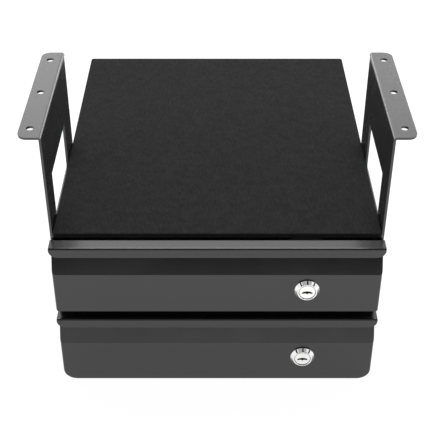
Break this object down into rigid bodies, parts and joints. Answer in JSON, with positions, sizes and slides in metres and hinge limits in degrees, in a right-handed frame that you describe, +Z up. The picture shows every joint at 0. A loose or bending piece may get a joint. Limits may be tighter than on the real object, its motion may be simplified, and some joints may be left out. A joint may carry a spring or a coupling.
{
  "type": "lockable under-desk drawer unit",
  "caption": "Stacked lockable steel drawers in a case that hangs under a desk from flanged side brackets, with a felt shelf pad on top.",
  "frame": {"origin": "centre of the desk screw pattern, in the plane of the desk's underside that the bracket flanges meet", "axes": "+Z up towards the desk, drawer fronts face -Y and slide out along -Y, +X to the right as seen from the front"},
  "size_m": [0.397, 0.4298, 0.304],
  "materials": {
    "case_paint": "satin black powder coat",
    "front_paint": "semi-gloss black powder coat",
    "tray_paint": "satin black powder coat",
    "bracket_paint": "semi-gloss black powder coat",
    "pad_felt": "short charcoal felt",
    "lock_chrome": "bright chrome plate",
    "plug_nickel": "polished nickel plate",
    "zinc_steel": "bright zinc plate",
    "black_zinc": "black zinc plate",
    "ball_steel": "polished ball steel"
  },
  "bodies": {
    "housing": {"case_wrap": "case_paint", "case_base": "case_paint", "case_back": "case_paint", "divider_shelf": "case_paint", "felt_pad": "pad_felt", "bracket_left": "bracket_paint", "bracket_right": "bracket_paint", "bracket_screws": "black_zinc", "bracket_nuts": "zinc_steel", "case_rivets": "black_zinc", "upper_strike": "black_zinc", "lower_strike": "black_zinc", "outer_rail_screws": "zinc_steel", "upper_left_outer_rail": "zinc_steel", "upper_right_outer_rail": "zinc_steel", "lower_left_outer_rail": "zinc_steel", "lower_right_outer_rail": "zinc_steel"},
    "upper_drawer": {"upper_front": "front_paint", "upper_tray": "tray_paint", "upper_front_nuts": "zinc_steel", "upper_left_inner_rail": "zinc_steel", "upper_right_inner_rail": "zinc_steel", "upper_inner_rail_screws": "zinc_steel", "upper_lock_housing": "lock_chrome", "upper_lock_nut": "zinc_steel"},
    "upper_middle_rails": {"upper_left_middle_rail": "zinc_steel", "upper_right_middle_rail": "zinc_steel"},
    "upper_outer_ball_cages": {"upper_outer_cages": "zinc_steel", "upper_outer_balls": "ball_steel"},
    "upper_inner_ball_cages": {"upper_inner_cages": "zinc_steel", "upper_inner_balls": "ball_steel"},
    "upper_lock_barrel": {"upper_lock_plug": "plug_nickel", "upper_lock_cam": "zinc_steel", "upper_cam_screw": "zinc_steel"},
    "lower_drawer": {"lower_front": "front_paint", "lower_tray": "tray_paint", "lower_front_nuts": "zinc_steel", "lower_left_inner_rail": "zinc_steel", "lower_right_inner_rail": "zinc_steel", "lower_inner_rail_screws": "zinc_steel", "lower_lock_housing": "lock_chrome", "lower_lock_nut": "zinc_steel"},
    "lower_middle_rails": {"lower_left_middle_rail": "zinc_steel", "lower_right_middle_rail": "zinc_steel"},
    "lower_outer_ball_cages": {"lower_outer_cages": "zinc_steel", "lower_outer_balls": "ball_steel"},
    "lower_inner_ball_cages": {"lower_inner_cages": "zinc_steel", "lower_inner_balls": "ball_steel"},
    "lower_lock_barrel": {"lower_lock_plug": "plug_nickel", "lower_lock_cam": "zinc_steel", "lower_cam_screw": "zinc_steel"}
  },
  "joints": [
    {"name": "upper_drawer_slide", "type": "slide", "parent": "housing", "child": "upper_drawer", "axis": [0, -1, 0], "range_m": [0, 0.3]},
    {"name": "upper_middle_rails_slide", "type": "slide", "parent": "housing", "child": "upper_middle_rails", "axis": [0, -1, 0], "range_m": [0, 0.15]},
    {"name": "upper_outer_ball_cages_slide", "type": "slide", "parent": "housing", "child": "upper_outer_ball_cages", "axis": [0, -1, 0], "range_m": [0, 0.075]},
    {"name": "upper_inner_ball_cages_slide", "type": "slide", "parent": "housing", "child": "upper_inner_ball_cages", "axis": [0, -1, 0], "range_m": [0, 0.225]},
    {"name": "upper_lock_turn", "type": "hinge", "parent": "upper_drawer", "child": "upper_lock_barrel", "pos_m": [0.0955, -0.1135, -0.1715], "axis": [0, 1, 0], "range_deg": [0, 90]},
    {"name": "lower_drawer_slide", "type": "slide", "parent": "housing", "child": "lower_drawer", "axis": [0, -1, 0], "range_m": [0, 0.3]},
    {"name": "lower_middle_rails_slide", "type": "slide", "parent": "housing", "child": "lower_middle_rails", "axis": [0, -1, 0], "range_m": [0, 0.15]},
    {"name": "lower_outer_ball_cages_slide", "type": "slide", "parent": "housing", "child": "lower_outer_ball_cages", "axis": [0, -1, 0], "range_m": [0, 0.075]},
    {"name": "lower_inner_ball_cages_slide", "type": "slide", "parent": "housing", "child": "lower_inner_ball_cages", "axis": [0, -1, 0], "range_m": [0, 0.225]},
    {"name": "lower_lock_turn", "type": "hinge", "parent": "lower_drawer", "child": "lower_lock_barrel", "pos_m": [0.0955, -0.1135, -0.2685], "axis": [0, 1, 0], "range_deg": [0, 90]}
  ],
  "couplings": [
    {"joint": "upper_middle_rails_slide", "follows": "upper_drawer_slide", "ratio": 0.5},
    {"joint": "upper_outer_ball_cages_slide", "follows": "upper_drawer_slide", "ratio": 0.25},
    {"joint": "upper_inner_ball_cages_slide", "follows": "upper_drawer_slide", "ratio": 0.75},
    {"joint": "lower_middle_rails_slide", "follows": "lower_drawer_slide", "ratio": 0.5},
    {"joint": "lower_outer_ball_cages_slide", "follows": "lower_drawer_slide", "ratio": 0.25},
    {"joint": "lower_inner_ball_cages_slide", "follows": "lower_drawer_slide", "ratio": 0.75}
  ]
}
